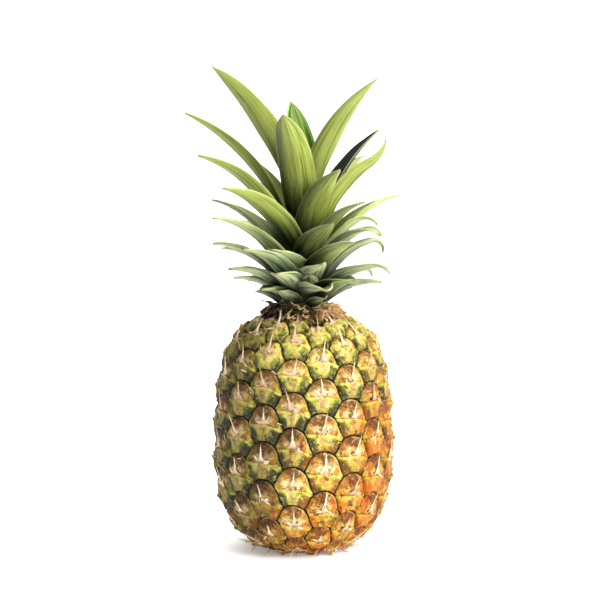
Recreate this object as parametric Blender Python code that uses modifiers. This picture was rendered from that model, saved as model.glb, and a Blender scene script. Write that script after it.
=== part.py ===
import math
import random

import bmesh
import bpy
from mathutils import Matrix, Vector

# Fruit body, in metres: a turned form that is widest below its middle
FRUIT_RADIUS = 0.0566
FRUIT_BELLY = 0.068
FRUIT_ABOVE = 0.0825
FRUIT_BELOW = 0.070
ROUND_ABOVE = 3.4
ROUND_BELOW = 2.6
FRUIT_TAPER = 0.045
NECK_RIM = (0.0215, 0.1505)
FOOT_RIM = (0.0165, -0.0030)

# Eye lattice: each eye turns by the same angle from the one before it
EYE_TURN = math.radians(-100)
EYE_START = math.radians(-97)
EYE_RIGHT = (math.radians(20), 7)
EYE_LEFT = (math.radians(-20), 11)
EYES_FIRST = -68
EYES_LAST = 76
EYE_RISE = 0.00134
EYE_RISE_LOWER = 0.00014
EYE_SHRINK = 0.6
BELLY_INDEX = -5.3
WALK_STEP = 0.25
WALK_END = 90
WALK_TOP = math.pi / 2 - 0.02
SLOPE_STEP = 0.0001
EYE_SEED = 7
MERGE_WITHIN = 0.00005

# Relief of an eye, in metres
EYE_FADE = 14
EYE_DOME = 0.0014
EYE_LIP = 0.0014
LIP_BELOW = 0.05
LIP_SPREAD = 0.28
EYE_CREVICE = -0.0020
EYE_SWELL = 0.0005
SPIKE_OUT = 0.0048
SPIKE_UP = 2.6
SPIKE_RANGE = (0.75, 1.2)
SPIKE_LEAN = 0.075
RING_OUTER = 0.76
RING_INNER = 0.30
RING_INSET = 0.001
BORDER_FROM = 0.81

# Cut base and the stub of the stalk
STALK_RADIUS = 0.0150
STALK_DEPTH = 0.0060
STALK_DRAFT = 0.0008
STALK_SIDES = 28
GAP = 0.0003

# Crown: leaves in a spiral on a short stem, each a little lower and shorter than the last
LEAF_FIRST = -3
LEAF_LAST = 41
LEAF_TURN = math.radians(137.5)
LEAF_START = math.radians(-100)
LEAF_FOOT = 0.158
LEAF_RISE = 0.046
LEAF_RISE_FADE = 12
LEAF_LENGTH = 0.105
LEAF_LENGTH_STEP = 0.0016
LEAF_WIDTH = 0.0257
LEAF_WIDTH_STEP = 0.00014
FOOT_LEAN = 16
FOOT_LEAN_MORE = 44
FOOT_LEAN_POWER = 1.7
TIP_LEAN = 52
TIP_LEAN_MORE = 42
TIP_LEAN_FADE = 16
LEAN_POWER = 1.2
ROLLED_BY = 0.6
LEAF_THICK = 0.0009
LEAF_ROWS = 6
LEAF_ACROSS = 2
LEAF_CUP = 0.85
LEAF_ROOT = 0.0045
LEAF_NARROW_FOOT = 0.72
LEAF_WIDEST = 0.38
LEAF_POINT = 2.6
LEAF_POINT_FALL = 0.85
LEAF_TIP_WIDTH = 0.03
HEART_LEAVES = 4
HEART_HEIGHT = 0.206
HEART_ROOT = (0.005, -0.001)
HEART_LENGTH = (0.046, -0.006)
HEART_WIDTH = (0.017, -0.002)
HEART_FOOT_LEAN = 6
HEART_TIP_LEAN = (24, -4)
STEM_FOOT = 0.1510
STEM_TIP = 0.2120
STEM_RADIUS = 0.0165
STEM_TIP_RADIUS = 0.0095
STEM_SIDES = 16

# Leaves that depart from the rule: turn, roll and leans in degrees, length, width and sweep in metres
LEAF_HAND = {
    -3: dict(turn=8, foot=5, tip=10, width=0.002, roll=17),
    -2: dict(turn=-8, length=-0.010, foot=-5, width=0.003, roll=-23),
    -1: dict(turn=-12, length=-0.025, foot=-20, tip=-15, blunt=2.0),
    0: dict(turn=-4, length=-0.018, width=0.001, blunt=1.2),
    1: dict(length=-0.015, foot=10, width=-0.006),
    2: dict(length=0.007, foot=5, tip=5, width=-0.004, roll=17),
    3: dict(turn=-12, length=-0.038, blunt=0.8),
    5: dict(length=-0.017, foot=18, tip=17, roll=11),
    6: dict(length=-0.010, foot=-5, width=0.002, roll=-23),
    7: dict(length=-0.015, foot=-10, tip=-10),
    8: dict(turn=4, length=-0.050, foot=24, tip=-8, sweep=0.008, blunt=1.0),
    9: dict(length=0.010),
    10: dict(length=0.010, foot=-10, roll=11),
    11: dict(turn=-8, length=-0.025, foot=-10),
    13: dict(length=-0.046, foot=30, tip=-9, sweep=-0.005, blunt=1.0),
    15: dict(turn=-12),
    16: dict(length=-0.020, foot=20),
    19: dict(length=-0.010, foot=-20, tip=-10),
    21: dict(turn=8, length=-0.030, foot=27, tip=-10, sweep=0.007, blunt=0.8),
    23: dict(length=-0.010),
    24: dict(length=0.005, foot=-15),
    27: dict(foot=-15),
    29: dict(turn=-8, length=-0.018, foot=28, tip=3, sweep=0.006),
    31: dict(length=-0.010),
    34: dict(length=-0.010, foot=14, tip=-8, sweep=-0.005),
    36: dict(length=-0.010),
    39: dict(length=-0.015),
}

# Collar of dry bracts between fruit and crown
BRACT_COUNT = 26
BRACT_FOOT = 0.1510
BRACT_HEIGHT = 0.0035
BRACT_RING = 0.0212
BRACT_THICK = 0.0008
BRACT_TURN = math.radians(222.5)
BRACT_ROWS = 3
BRACT_CUP = 0.5
BRACT_SEED = 11
BRACT_LENGTH = (0.007, 0.013)
BRACT_WIDTH = (0.004, 0.008)
BRACT_LEAN = (74, 90)
BRACT_CURL = (-45, 6)
BRACT_SWEEP = 0.3
BRACT_SPREAD = 0.1
BRACT_LEVEL = (0.25, 0.75)
BRACT_ROOT = 0.002
RING_SIDES = 32

COLOURS = {
    "fruit_skin": ((0.55, 0.40, 0.10), 0.55),
    "crown_leaf": ((0.24, 0.34, 0.08), 0.5),
    "dry_bract": ((0.24, 0.12, 0.05), 0.8),
    "cut_stalk": ((0.62, 0.50, 0.28), 0.85),
}


def clear_scene():
    for old in list(bpy.data.objects):
        bpy.data.objects.remove(old, do_unlink=True)


def make_collection(name):
    made = bpy.data.collections.new(name)
    bpy.context.scene.collection.children.link(made)
    return made


def make_material(name):
    colour, roughness = COLOURS[name]
    made = bpy.data.materials.new(name)
    made.use_nodes = True
    shader = made.node_tree.nodes["Principled BSDF"]
    shader.inputs["Base Color"].default_value = (*colour, 1.0)
    shader.inputs["Roughness"].default_value = roughness
    made.diffuse_color = (*colour, 1.0)
    return made


def object_from_bmesh(bm, name, collection, material=None):
    bmesh.ops.recalc_face_normals(bm, faces=bm.faces)
    mesh = bpy.data.meshes.new(name)
    bm.to_mesh(mesh)
    bm.free()
    made = bpy.data.objects.new(name, mesh)
    collection.objects.link(made)
    if material:
        mesh.materials.append(material)
    return made


def apply_modifiers(target):
    graph = bpy.context.evaluated_depsgraph_get()
    solid = bpy.data.meshes.new_from_object(target.evaluated_get(graph))
    target.modifiers.clear()
    target.data = solid


def fuse(target, collection):
    union = target.modifiers.new("fuse", "BOOLEAN")
    union.operation = "UNION"
    union.operand_type = "COLLECTION"
    union.collection = collection
    union.solver = "MANIFOLD"
    apply_modifiers(target)
    fill_hollows(target)
    for used in list(collection.objects):
        bpy.data.objects.remove(used, do_unlink=True)


# Faces that hang together with the given one
def island_of(first):
    island, edge_of_island = {first}, [first]
    while edge_of_island:
        face = edge_of_island.pop()
        for edge in face.edges:
            for near in edge.link_faces:
                if near not in island:
                    island.add(near)
                    edge_of_island.append(near)
    return island


# A hollow that fusing sealed is an island that faces inwards: without it the solid is filled
def fill_hollows(target):
    solid = bmesh.new()
    solid.from_mesh(target.data)
    left = set(solid.faces)
    hollow = []
    while left:
        island = island_of(next(iter(left)))
        left -= island
        volume = sum(face.normal.dot(face.calc_center_median()) * face.calc_area() for face in island)
        if volume < 0:
            hollow.extend(island)
    bmesh.ops.delete(solid, geom=hollow, context="FACES")
    solid.to_mesh(target.data)
    solid.free()


# The fruit's outline, by the angle seen from the centre of its belly
def outline_point(angle):
    height, roundness = (FRUIT_ABOVE, ROUND_ABOVE) if angle > 0 else (FRUIT_BELOW, ROUND_BELOW)
    side, rise = math.cos(angle), math.sin(angle)
    reach = ((side / FRUIT_RADIUS) ** roundness + (abs(rise) / height) ** roundness) ** (-1 / roundness)
    radius = reach * side * (1 - FRUIT_TAPER * max(rise, 0.0))
    return radius, FRUIT_BELLY + reach * rise


# Walks the outline so that the eyes shrink with the girth they go around
def walk_outline(step):
    angle, index, places = 0.0, BELLY_INDEX, []
    while abs(angle) < WALK_TOP and abs(index) < WALK_END:
        radius, height = outline_point(angle)
        ahead = outline_point(angle + SLOPE_STEP)
        run, climb = (ahead[0] - radius) / SLOPE_STEP, (ahead[1] - height) / SLOPE_STEP
        speed = math.hypot(run, climb)
        places.append((index, radius, height, climb / speed, -run / speed))
        rise = EYE_RISE - EYE_RISE_LOWER * math.sin(angle)
        angle += step * rise * (radius / FRUIT_RADIUS) ** EYE_SHRINK / speed
        index += step
    return places


def make_meridian():
    upper = walk_outline(WALK_STEP)
    lower = walk_outline(-WALK_STEP)
    return lower[:0:-1] + upper


def skin_point(meridian, turn, index, lift):
    place = (index - meridian[0][0]) / WALK_STEP
    low = min(max(int(place), 0), len(meridian) - 2)
    part = min(max(place - low, 0.0), 1.0)
    _, radius, height, out, up = [a + (b - a) * part for a, b in zip(meridian[low], meridian[low + 1])]
    reach = radius + out * lift
    return Vector((reach * math.cos(turn), reach * math.sin(turn), height + up * lift))


# One six-sided eye in its own plane: two inner rings and a middle point
def make_eye_patch():
    patch = bmesh.new()
    bmesh.ops.create_circle(patch, segments=6, radius=1.0, cap_ends=True)
    bmesh.ops.rotate(patch, verts=patch.verts, matrix=turn_to_corner(patch))
    bmesh.ops.subdivide_edges(patch, edges=patch.edges[:], cuts=1)
    for size, before in ((RING_OUTER, 1.0), (RING_INNER, RING_OUTER)):
        centre = max(patch.faces, key=lambda face: len(face.verts))
        bmesh.ops.inset_individual(patch, faces=[centre], thickness=RING_INSET)
        centre = max(patch.faces, key=lambda face: len(face.verts))
        for vert in centre.verts:
            vert.co *= size / before / (1 - RING_INSET / before)
    centre = max(patch.faces, key=lambda face: len(face.verts))
    bmesh.ops.poke(patch, faces=[centre])
    return patch


# Turns the circle so that a corner lies on the X axis
def turn_to_corner(patch):
    patch.verts.ensure_lookup_table()
    first = patch.verts[0].co
    return Matrix.Rotation(-math.atan2(first.y, first.x), 3, "Z")


def eye_relief(across, along):
    distance = min(1.0, math.hypot(across, along))
    dome = EYE_CREVICE + (EYE_DOME - EYE_CREVICE) * (1 - distance ** 3)
    lip = EYE_LIP * math.exp(-((along + LIP_BELOW) / LIP_SPREAD) ** 2) * max(0.0, 1 - across * across)
    return dome + lip


def add_eye(skin, patch, meridian, index, draw):
    corner_one = [(2 * a + b) / 3 for a, b in zip(EYE_RIGHT, EYE_LEFT)]
    corner_two = [(a + 2 * b) / 3 for a, b in zip(EYE_RIGHT, EYE_LEFT)]
    half_turn, half_rise = corner_one[0] - corner_two[0], (EYE_RIGHT[1] + EYE_LEFT[1]) / 2
    swell = draw.uniform(-EYE_SWELL, EYE_SWELL)
    fade = min(1.0, (EYES_LAST + 4 - index) / EYE_FADE)
    spike = draw.uniform(*SPIKE_RANGE)
    lean = draw.uniform(-SPIKE_LEAN, SPIKE_LEAN)
    placed = {}
    for vert in patch.verts:
        second = vert.co.y / math.sin(math.radians(60))
        first = vert.co.x - second / 2
        turn = first * corner_one[0] + second * corner_two[0]
        rise = first * corner_one[1] + second * corner_two[1]
        edge = vert.co.length > BORDER_FROM
        middle = vert.co.length < 0.01
        lift = eye_relief(turn / half_turn, rise / half_rise) + (0 if edge else swell)
        if edge:
            lift = EYE_CREVICE
        if middle:
            lift = SPIKE_OUT * spike * fade
            rise += SPIKE_UP
            turn += lean * half_turn
        start = EYE_START + EYE_TURN * index
        placed[vert] = skin.verts.new(skin_point(meridian, start + turn, index + rise, min(lift, lift * fade)))
    for face in patch.faces:
        skin.faces.new([placed[vert] for vert in face.verts])


# Draws an open rim in to a ring and closes it
def close_rim(skin, edges, radius, height):
    drawn = bmesh.ops.extrude_edge_only(skin, edges=edges)["geom"]
    verts = [item for item in drawn if isinstance(item, bmesh.types.BMVert)]
    for vert in verts:
        turn = math.atan2(vert.co.y, vert.co.x)
        vert.co = Vector((radius * math.cos(turn), radius * math.sin(turn), height))
    bmesh.ops.contextual_create(skin, geom=[item for item in drawn if isinstance(item, bmesh.types.BMEdge)])


def make_fruit(collection, cutters, material):
    draw = random.Random(EYE_SEED)
    meridian = make_meridian()
    patch = make_eye_patch()
    skin = bmesh.new()
    for index in range(EYES_FIRST, EYES_LAST + 1):
        add_eye(skin, patch, meridian, index, draw)
    patch.free()
    bmesh.ops.remove_doubles(skin, verts=skin.verts, dist=MERGE_WITHIN)
    rim = [edge for edge in skin.edges if edge.is_boundary]
    upper = [edge for edge in rim if edge.verts[0].co.z > FRUIT_BELLY]
    lower = [edge for edge in rim if edge.verts[0].co.z < FRUIT_BELLY]
    close_rim(skin, upper, *NECK_RIM)
    close_rim(skin, lower, *FOOT_RIM)
    everything = skin.verts[:] + skin.edges[:] + skin.faces[:]
    bmesh.ops.bisect_plane(skin, geom=everything, plane_co=(0, 0, 0), plane_no=(0, 0, -1), clear_outer=True)
    bmesh.ops.holes_fill(skin, edges=[edge for edge in skin.edges if edge.is_boundary])
    bmesh.ops.triangulate(skin, faces=skin.faces)
    fruit = object_from_bmesh(skin, "fruit", collection, material)
    cut_recess(fruit, cutters)
    return fruit


def cut_recess(fruit, cutters):
    bpy.ops.mesh.primitive_cylinder_add(vertices=STALK_SIDES, radius=STALK_RADIUS + GAP, depth=2 * STALK_DEPTH)
    cutter = bpy.context.object
    cutter.name = "stalk_recess_cutter"
    for holder in cutter.users_collection:
        holder.objects.unlink(cutter)
    cutters.objects.link(cutter)
    cutter.hide_render = True
    cutter.display_type = "WIRE"
    recess = fruit.modifiers.new("recess", "BOOLEAN")
    recess.operation = "DIFFERENCE"
    recess.object = cutter
    recess.solver = "EXACT"


def make_stalk(collection, material):
    stub = bmesh.new()
    bmesh.ops.create_cone(stub, cap_ends=True, segments=STALK_SIDES, radius1=STALK_RADIUS,
                          radius2=STALK_RADIUS - STALK_DRAFT, depth=STALK_DEPTH - GAP)
    bmesh.ops.translate(stub, verts=stub.verts, vec=(0, 0, (STALK_DEPTH - GAP) / 2))
    return object_from_bmesh(stub, "cut_stalk", collection, material)


def stem_radius(height):
    part = (height - STEM_FOOT) / (STEM_TIP - STEM_FOOT)
    return STEM_RADIUS + (STEM_TIP_RADIUS - STEM_RADIUS) * part


# Place, length, leans and width of a leaf, by its order in the spiral
def leaf_shape(index):
    height = LEAF_FOOT + LEAF_RISE * math.exp(-index / LEAF_RISE_FADE)
    shape = dict(
        turn=LEAF_START + LEAF_TURN * index,
        height=height,
        root=stem_radius(height) - LEAF_ROOT,
        length=LEAF_LENGTH - LEAF_LENGTH_STEP * index,
        foot=FOOT_LEAN + FOOT_LEAN_MORE * (max(index, 0) / (LEAF_LAST - 1)) ** FOOT_LEAN_POWER,
        tip=TIP_LEAN + TIP_LEAN_MORE * (1 - math.exp(-index / TIP_LEAN_FADE)),
        width=LEAF_WIDTH - LEAF_WIDTH_STEP * index,
        sweep=0.0,
        roll=0.0,
        blunt=0.0,
    )
    for key, change in LEAF_HAND.get(index, {}).items():
        shape[key] += math.radians(change) if key in ("turn", "roll") else change
    return shape


# The young leaves at the heart stand almost upright
def heart_shape(order):
    return dict(
        turn=LEAF_START + LEAF_TURN * (LEAF_FIRST - 1 - order),
        height=HEART_HEIGHT,
        root=HEART_ROOT[0] + HEART_ROOT[1] * order,
        length=HEART_LENGTH[0] + HEART_LENGTH[1] * order,
        foot=HEART_FOOT_LEAN,
        tip=HEART_TIP_LEAN[0] + HEART_TIP_LEAN[1] * order,
        width=HEART_WIDTH[0] + HEART_WIDTH[1] * order,
        sweep=0.0,
        roll=0.0,
        blunt=0.0,
    )


# Share of a leaf's full width at a place along it: narrow at the foot, pointed or blunt at the tip
def leaf_width(along, blunt):
    foot = LEAF_NARROW_FOOT + (1 - LEAF_NARROW_FOOT) * math.sin(min(along / LEAF_WIDEST, 1) * math.pi / 2)
    return foot * max(LEAF_TIP_WIDTH, 1 - along ** (LEAF_POINT + blunt)) ** LEAF_POINT_FALL


# Points along the middle of a leaf: distance out, height, lean in radians
def leaf_spine(shape, rows):
    reach, height, spine = shape["root"], shape["height"], []
    for row in range(rows + 1):
        along = row / rows
        lean = math.radians(shape["foot"] + (shape["tip"] - shape["foot"]) * along ** LEAN_POWER)
        if row:
            reach += math.sin(lean) * shape["length"] / rows
            height += math.cos(lean) * shape["length"] / rows
        spine.append((reach, height, lean))
    return spine


# A point of a cupped blade, swept sideways and rolled about its middle towards the tip
def blade_point(shape, spine, row, across, cup):
    reach, height, lean = spine[row]
    along = row / (len(spine) - 1)
    turn = shape["turn"]
    out = Vector((math.cos(turn), math.sin(turn), 0))
    side = Vector((-math.sin(turn), math.cos(turn), 0))
    inward = out * -math.cos(lean) + Vector((0, 0, math.sin(lean)))
    half = shape["width"] / 2 * leaf_width(along, shape["blunt"])
    lateral = half * math.sin(cup * across) / cup
    depth = half * (1 - math.cos(cup * across)) / cup
    roll = shape["roll"] * min(1.0, along / ROLLED_BY)
    middle = out * reach + Vector((0, 0, height)) + side * shape["sweep"] * along ** 2
    return (middle + side * (lateral * math.cos(roll) - depth * math.sin(roll))
            + inward * (depth * math.cos(roll) + lateral * math.sin(roll)))


def make_blade(name, shape, rows, thick, cup, collection):
    blade = bmesh.new()
    bmesh.ops.create_grid(blade, x_segments=LEAF_ACROSS, y_segments=rows, size=1.0)
    spine = leaf_spine(shape, rows)
    for vert in blade.verts:
        row = round((vert.co.y + 1) / 2 * rows)
        vert.co = blade_point(shape, spine, row, vert.co.x, cup)
    made = object_from_bmesh(blade, name, collection)
    shell = made.modifiers.new("thickness", "SOLIDIFY")
    shell.thickness = thick
    shell.offset = 0
    apply_modifiers(made)
    return made


def make_crown(collection, pieces, material):
    stem = bmesh.new()
    bmesh.ops.create_cone(stem, cap_ends=True, segments=STEM_SIDES, radius1=STEM_RADIUS, radius2=STEM_TIP_RADIUS,
                          depth=STEM_TIP - STEM_FOOT)
    bmesh.ops.translate(stem, verts=stem.verts, vec=(0, 0, (STEM_TIP + STEM_FOOT) / 2))
    crown = object_from_bmesh(stem, "crown", collection, material)
    for index in range(LEAF_FIRST, LEAF_LAST + 1):
        make_blade("leaf", leaf_shape(index), LEAF_ROWS, LEAF_THICK, LEAF_CUP, pieces)
    for order in range(HEART_LEAVES):
        make_blade("heart_leaf", heart_shape(order), LEAF_ROWS - 1, LEAF_THICK, LEAF_CUP, pieces)
    fuse(crown, pieces)
    crown.data.materials.clear()
    crown.data.materials.append(material)
    return crown


def make_neck_bracts(collection, pieces, material):
    draw = random.Random(BRACT_SEED)
    inner = STEM_RADIUS + GAP
    ring = bmesh.new()
    bmesh.ops.create_circle(ring, segments=RING_SIDES, radius=inner)
    drawn = bmesh.ops.extrude_edge_only(ring, edges=ring.edges[:])["geom"]
    outer = [item for item in drawn if isinstance(item, bmesh.types.BMVert)]
    bmesh.ops.scale(ring, verts=outer, vec=(BRACT_RING / inner, BRACT_RING / inner, 1))
    drawn = bmesh.ops.extrude_face_region(ring, geom=ring.faces[:])["geom"]
    upper = [item for item in drawn if isinstance(item, bmesh.types.BMVert)]
    bmesh.ops.translate(ring, verts=upper, vec=(0, 0, BRACT_HEIGHT))
    bmesh.ops.translate(ring, verts=ring.verts, vec=(0, 0, BRACT_FOOT))
    bracts = object_from_bmesh(ring, "neck_bracts", collection, material)
    for index in range(BRACT_COUNT):
        foot = draw.uniform(*BRACT_LEAN)
        length = draw.uniform(*BRACT_LENGTH)
        shape = dict(
            turn=index * BRACT_TURN + draw.uniform(-BRACT_SPREAD, BRACT_SPREAD),
            height=BRACT_FOOT + draw.uniform(*BRACT_LEVEL) * BRACT_HEIGHT,
            root=BRACT_RING - BRACT_ROOT,
            length=length,
            foot=foot,
            tip=foot + draw.uniform(*BRACT_CURL),
            width=draw.uniform(*BRACT_WIDTH),
            sweep=draw.uniform(-BRACT_SWEEP, BRACT_SWEEP) * length,
            roll=0.0,
            blunt=0.0,
        )
        make_blade("bract", shape, BRACT_ROWS, BRACT_THICK, BRACT_CUP, pieces)
    fuse(bracts, pieces)
    bracts.data.materials.clear()
    bracts.data.materials.append(material)
    return bracts


def main():
    clear_scene()
    parts = make_collection("pineapple")
    cutters = make_collection("cutters")
    pieces = make_collection("fused_pieces")
    make_fruit(parts, cutters, make_material("fruit_skin"))
    make_stalk(parts, make_material("cut_stalk"))
    make_crown(parts, pieces, make_material("crown_leaf"))
    make_neck_bracts(parts, pieces, make_material("dry_bract"))
    bpy.data.collections.remove(pieces)


main()
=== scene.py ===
import random
from math import atan2, cos, degrees, exp, hypot, pi, radians, sin, tan

import bmesh
import bpy
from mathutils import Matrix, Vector, noise


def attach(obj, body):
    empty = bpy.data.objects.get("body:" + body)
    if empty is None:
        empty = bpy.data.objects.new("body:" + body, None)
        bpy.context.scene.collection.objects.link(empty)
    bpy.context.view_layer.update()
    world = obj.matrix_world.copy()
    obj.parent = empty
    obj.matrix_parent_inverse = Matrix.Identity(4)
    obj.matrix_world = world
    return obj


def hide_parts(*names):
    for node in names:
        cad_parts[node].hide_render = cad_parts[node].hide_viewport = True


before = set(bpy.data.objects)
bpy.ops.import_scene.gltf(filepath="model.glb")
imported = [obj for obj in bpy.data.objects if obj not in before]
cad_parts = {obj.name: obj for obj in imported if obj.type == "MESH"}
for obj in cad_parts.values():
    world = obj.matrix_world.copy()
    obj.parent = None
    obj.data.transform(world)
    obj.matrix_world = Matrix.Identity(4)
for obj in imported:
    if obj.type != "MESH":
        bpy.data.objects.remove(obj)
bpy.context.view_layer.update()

print("frame loaded:", ", ".join(sorted(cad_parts)))


def tone(red, green, blue):
    # a colour given 0 to 255, as the shader wants it
    return tuple(c / 255 / 12.92 if c <= 10 else ((c / 255 + 0.055) / 1.055) ** 2.4 for c in (red, green, blue))


def mix(first, second, part):
    return first + (second - first) * part


def ease(low, high, value):
    # 0 at low and 1 at high, eased between
    part = min(max((value - low) / (high - low), 0.0), 1.0)
    return part * part * (3 - 2 * part)


def drawn(draw, ranges):
    # one random value from each range, in the order given
    return {key: draw.uniform(*span) for key, span in ranges.items()}


class Wire:
    # a socket that can be added, multiplied and so on: each step adds a Math node
    def __init__(self, look, socket):
        self.look = look
        self.socket = socket

    def maths(self, operation, first, second=None):
        values = {0: first} if second is None else {0: first, 1: second}
        return self.look.node("ShaderNodeMath", {"operation": operation}, values)

    def __add__(self, other):
        return self.maths("ADD", self, other)

    def __sub__(self, other):
        return self.maths("SUBTRACT", self, other)

    def __rsub__(self, other):
        return self.maths("SUBTRACT", other, self)

    def __mul__(self, other):
        return self.maths("MULTIPLY", self, other)

    def __abs__(self):
        return self.maths("ABSOLUTE", self)

    __radd__ = __add__
    __rmul__ = __mul__


class Look:
    # one material, with its colours by name and the few nodes that every finish here is made of
    def __init__(self, name, specular=0.5, tones={}):
        self.material = bpy.data.materials.new(name)
        self.material.use_nodes = True
        self.tree = self.material.node_tree
        self.shader = self.tree.nodes["Principled BSDF"]
        self.shader.inputs["Specular IOR Level"].default_value = specular
        self.colours = {key: tone(*values) for key, values in tones.items()}

    def node(self, kind, settings={}, values={}, out=0):
        made = self.tree.nodes.new(kind)
        for key, value in settings.items():
            setattr(made, key, value)
        for key, value in values.items():
            self.feed(made.inputs[key], value)
        return Wire(self, made.outputs[out])

    def feed(self, socket, value):
        if isinstance(value, str):
            value = self.colours[value]
        if isinstance(value, Wire):
            self.tree.links.new(value.socket, socket)
        elif isinstance(value, tuple) and socket.type == "RGBA":
            socket.default_value = (*value, 1.0)
        else:
            socket.default_value = value

    def ramp(self, value, low, high):
        return self.node("ShaderNodeMapRange", {"interpolation_type": "SMOOTHSTEP"},
                         {"Value": value, "From Min": low, "From Max": high})

    def blend(self, part, first, second, kind="MIX"):
        return self.node("ShaderNodeMix", {"data_type": "RGBA", "blend_type": kind},
                         {0: part, 6: first, 7: second}, out=2)

    def vector(self, along, across, third=0.0):
        return self.node("ShaderNodeCombineXYZ", {}, {0: along, 1: across, 2: third})

    def grain(self, where, scale, detail=3.0, rough=0.55):
        return self.node("ShaderNodeTexNoise", {},
                         {"Vector": where, "Scale": scale, "Detail": detail, "Roughness": rough})

    def place(self):
        return self.node("ShaderNodeTexCoord", {}, {}, out=3)

    def split(self, vector):
        made = self.node("ShaderNodeSeparateXYZ", {}, {0: vector}).socket.node
        return [Wire(self, made.outputs[axis]) for axis in range(3)]

    def onPiece(self, name):
        # two numbers kept as a UV map of the piece
        return self.split(self.node("ShaderNodeUVMap", {"uv_map": name}))[:2]

    def number(self, name):
        # a number kept on the piece's faces
        return self.node("ShaderNodeAttribute", {"attribute_name": name}, {}, out=2)

    def finish(self, colour, roughness, height=None, depth=0.001, strength=1.0):
        self.feed(self.shader.inputs["Base Color"], colour)
        self.feed(self.shader.inputs["Roughness"], roughness)
        if height is not None:
            bump = self.node("ShaderNodeBump", {}, {"Height": height, "Distance": depth, "Strength": strength})
            self.feed(self.shader.inputs["Normal"], bump)
        return self.material


def addObject(bm, name, material):
    mesh = bpy.data.meshes.new(name)
    for face in bm.faces:
        face.smooth = True
    bm.to_mesh(mesh)
    bm.free()
    mesh.materials.append(material)
    made = bpy.data.objects.new(name, mesh)
    bpy.context.scene.collection.objects.link(made)
    return made


def showPiece(bm, name, material, stands=None):
    piece = addObject(bm, name, material)
    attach(piece, "root")
    if stands:
        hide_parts(stands)
    print(f"{name}: {sum(len(face.vertices) - 2 for face in piece.data.polygons)} triangles")


def faceOutward(bm):
    bmesh.ops.recalc_face_normals(bm, faces=bm.faces)


def spinProfile(profile, steps, near=1e-6):
    # a turned body from (radius, height) points that start on the axis
    bm = bmesh.new()
    line = [bm.verts.new((radius, 0, height)) for radius, height in profile]
    edges = [bm.edges.new(pair) for pair in zip(line, line[1:])]
    bmesh.ops.spin(bm, geom=line + edges, cent=(0, 0, 0), axis=(0, 0, 1), angle=2 * pi,
                   steps=steps, use_merge=True)
    bmesh.ops.remove_doubles(bm, verts=bm.verts, dist=near)
    faceOutward(bm)
    return bm


# The camera stands a little above the fruit and looks along +Y
view = {
    "distance": 1.063,
    "elevation": 5.0,
    "lens": 100,
    "aim": (-0.0022, 0.0, 0.159),
}


def placeCamera():
    lens = bpy.data.cameras.new("photoCamera")
    lens.lens = view["lens"]
    camera = bpy.data.objects.new("photoCamera", lens)
    bpy.context.scene.collection.objects.link(camera)
    rise = radians(view["elevation"])
    back = Vector((0, -cos(rise), sin(rise)))
    camera.location = Vector(view["aim"]) + back * view["distance"]
    camera.rotation_euler = back.to_track_quat("Z", "Y").to_euler()
    bpy.context.scene.camera = camera
    bpy.context.scene.view_settings.view_transform = "Standard"


# A white sweep of card: floor, bend and wall in one sheet
sweep = {
    "halfWidth": 2.5,
    "front": -1.6,
    "bendStart": 1.2,
    "bendRadius": 0.8,
    "wallTop": 2.6,
    "white": (246, 246, 246),
    "glow": 0.25,
    "rows": 48,
    "drop": 0.0002,  # keeps the card just under the fruit
}


def sweepPoint(walked):
    # depth and height of the card at a length walked along it from the front
    start, radius = sweep["bendStart"], sweep["bendRadius"]
    flat, quarter = start - sweep["front"], radius * pi / 2
    if walked < flat:
        return sweep["front"] + walked, 0.0
    if walked < flat + quarter:
        angle = (walked - flat) / radius
        return start + radius * sin(angle), radius * (1 - cos(angle))
    return start + radius, radius + walked - flat - quarter


def makeSweep():
    bm = bmesh.new()
    bmesh.ops.create_grid(bm, x_segments=1, y_segments=sweep["rows"], size=1.0)
    floorLength = sweep["bendStart"] - sweep["front"]
    length = floorLength + sweep["bendRadius"] * (pi / 2 - 1) + sweep["wallTop"]
    for vert in bm.verts:
        depth, height = sweepPoint((vert.co.y + 1) / 2 * length)
        vert.co = Vector((vert.co.x * sweep["halfWidth"], depth, height - sweep["drop"]))
    card, white = Look("paleCard", specular=0.2), tone(*sweep["white"])
    card.feed(card.shader.inputs["Emission Color"], white)
    card.feed(card.shader.inputs["Emission Strength"], sweep["glow"])
    floor = addObject(bm, "sweep", card.finish(white, 0.8))


# Soft boxes: where each stands, how wide it is and its power in watts, and its aim if not at the fruit
lampAim = (0, 0, 0.15)
softBoxes = {
    "keyRight": {"at": (1.05, -0.85, 0.85), "size": 0.8, "power": 35.5},
    "fillLeft": {"at": (-1.2, -0.9, 0.5), "size": 1.0, "power": 1.5},
    "top": {"at": (0.1, 0.15, 1.3), "size": 0.7, "power": 9},
    "rimRight": {"at": (0.9, 0.6, 0.5), "size": 0.6, "power": 2},
    "wallWash": {"at": (0.0, 0.5, 2.0), "aim": (0, 2.0, 0.6), "size": 2.2, "power": 75},
}
skyStrength = 0.25


def makeLights():
    for name, box in softBoxes.items():
        lamp = bpy.data.lights.new(name, "AREA")
        lamp.size = box["size"]
        lamp.energy = box["power"]
        light = bpy.data.objects.new(name, lamp)
        light.location = box["at"]
        light.rotation_euler = (Vector(box["at"]) - Vector(box.get("aim", lampAim))).to_track_quat("Z", "Y").to_euler()
        bpy.context.scene.collection.objects.link(light)
    sky = bpy.data.worlds.new("paleSky")
    sky.use_nodes = True
    backdrop = sky.node_tree.nodes["Background"]
    backdrop.inputs["Color"].default_value = (1, 1, 1, 1)
    backdrop.inputs["Strength"].default_value = skyStrength
    bpy.context.scene.world = sky


placeCamera()
makeSweep()
makeLights()
print("camera, sweep and lights ready")


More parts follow.
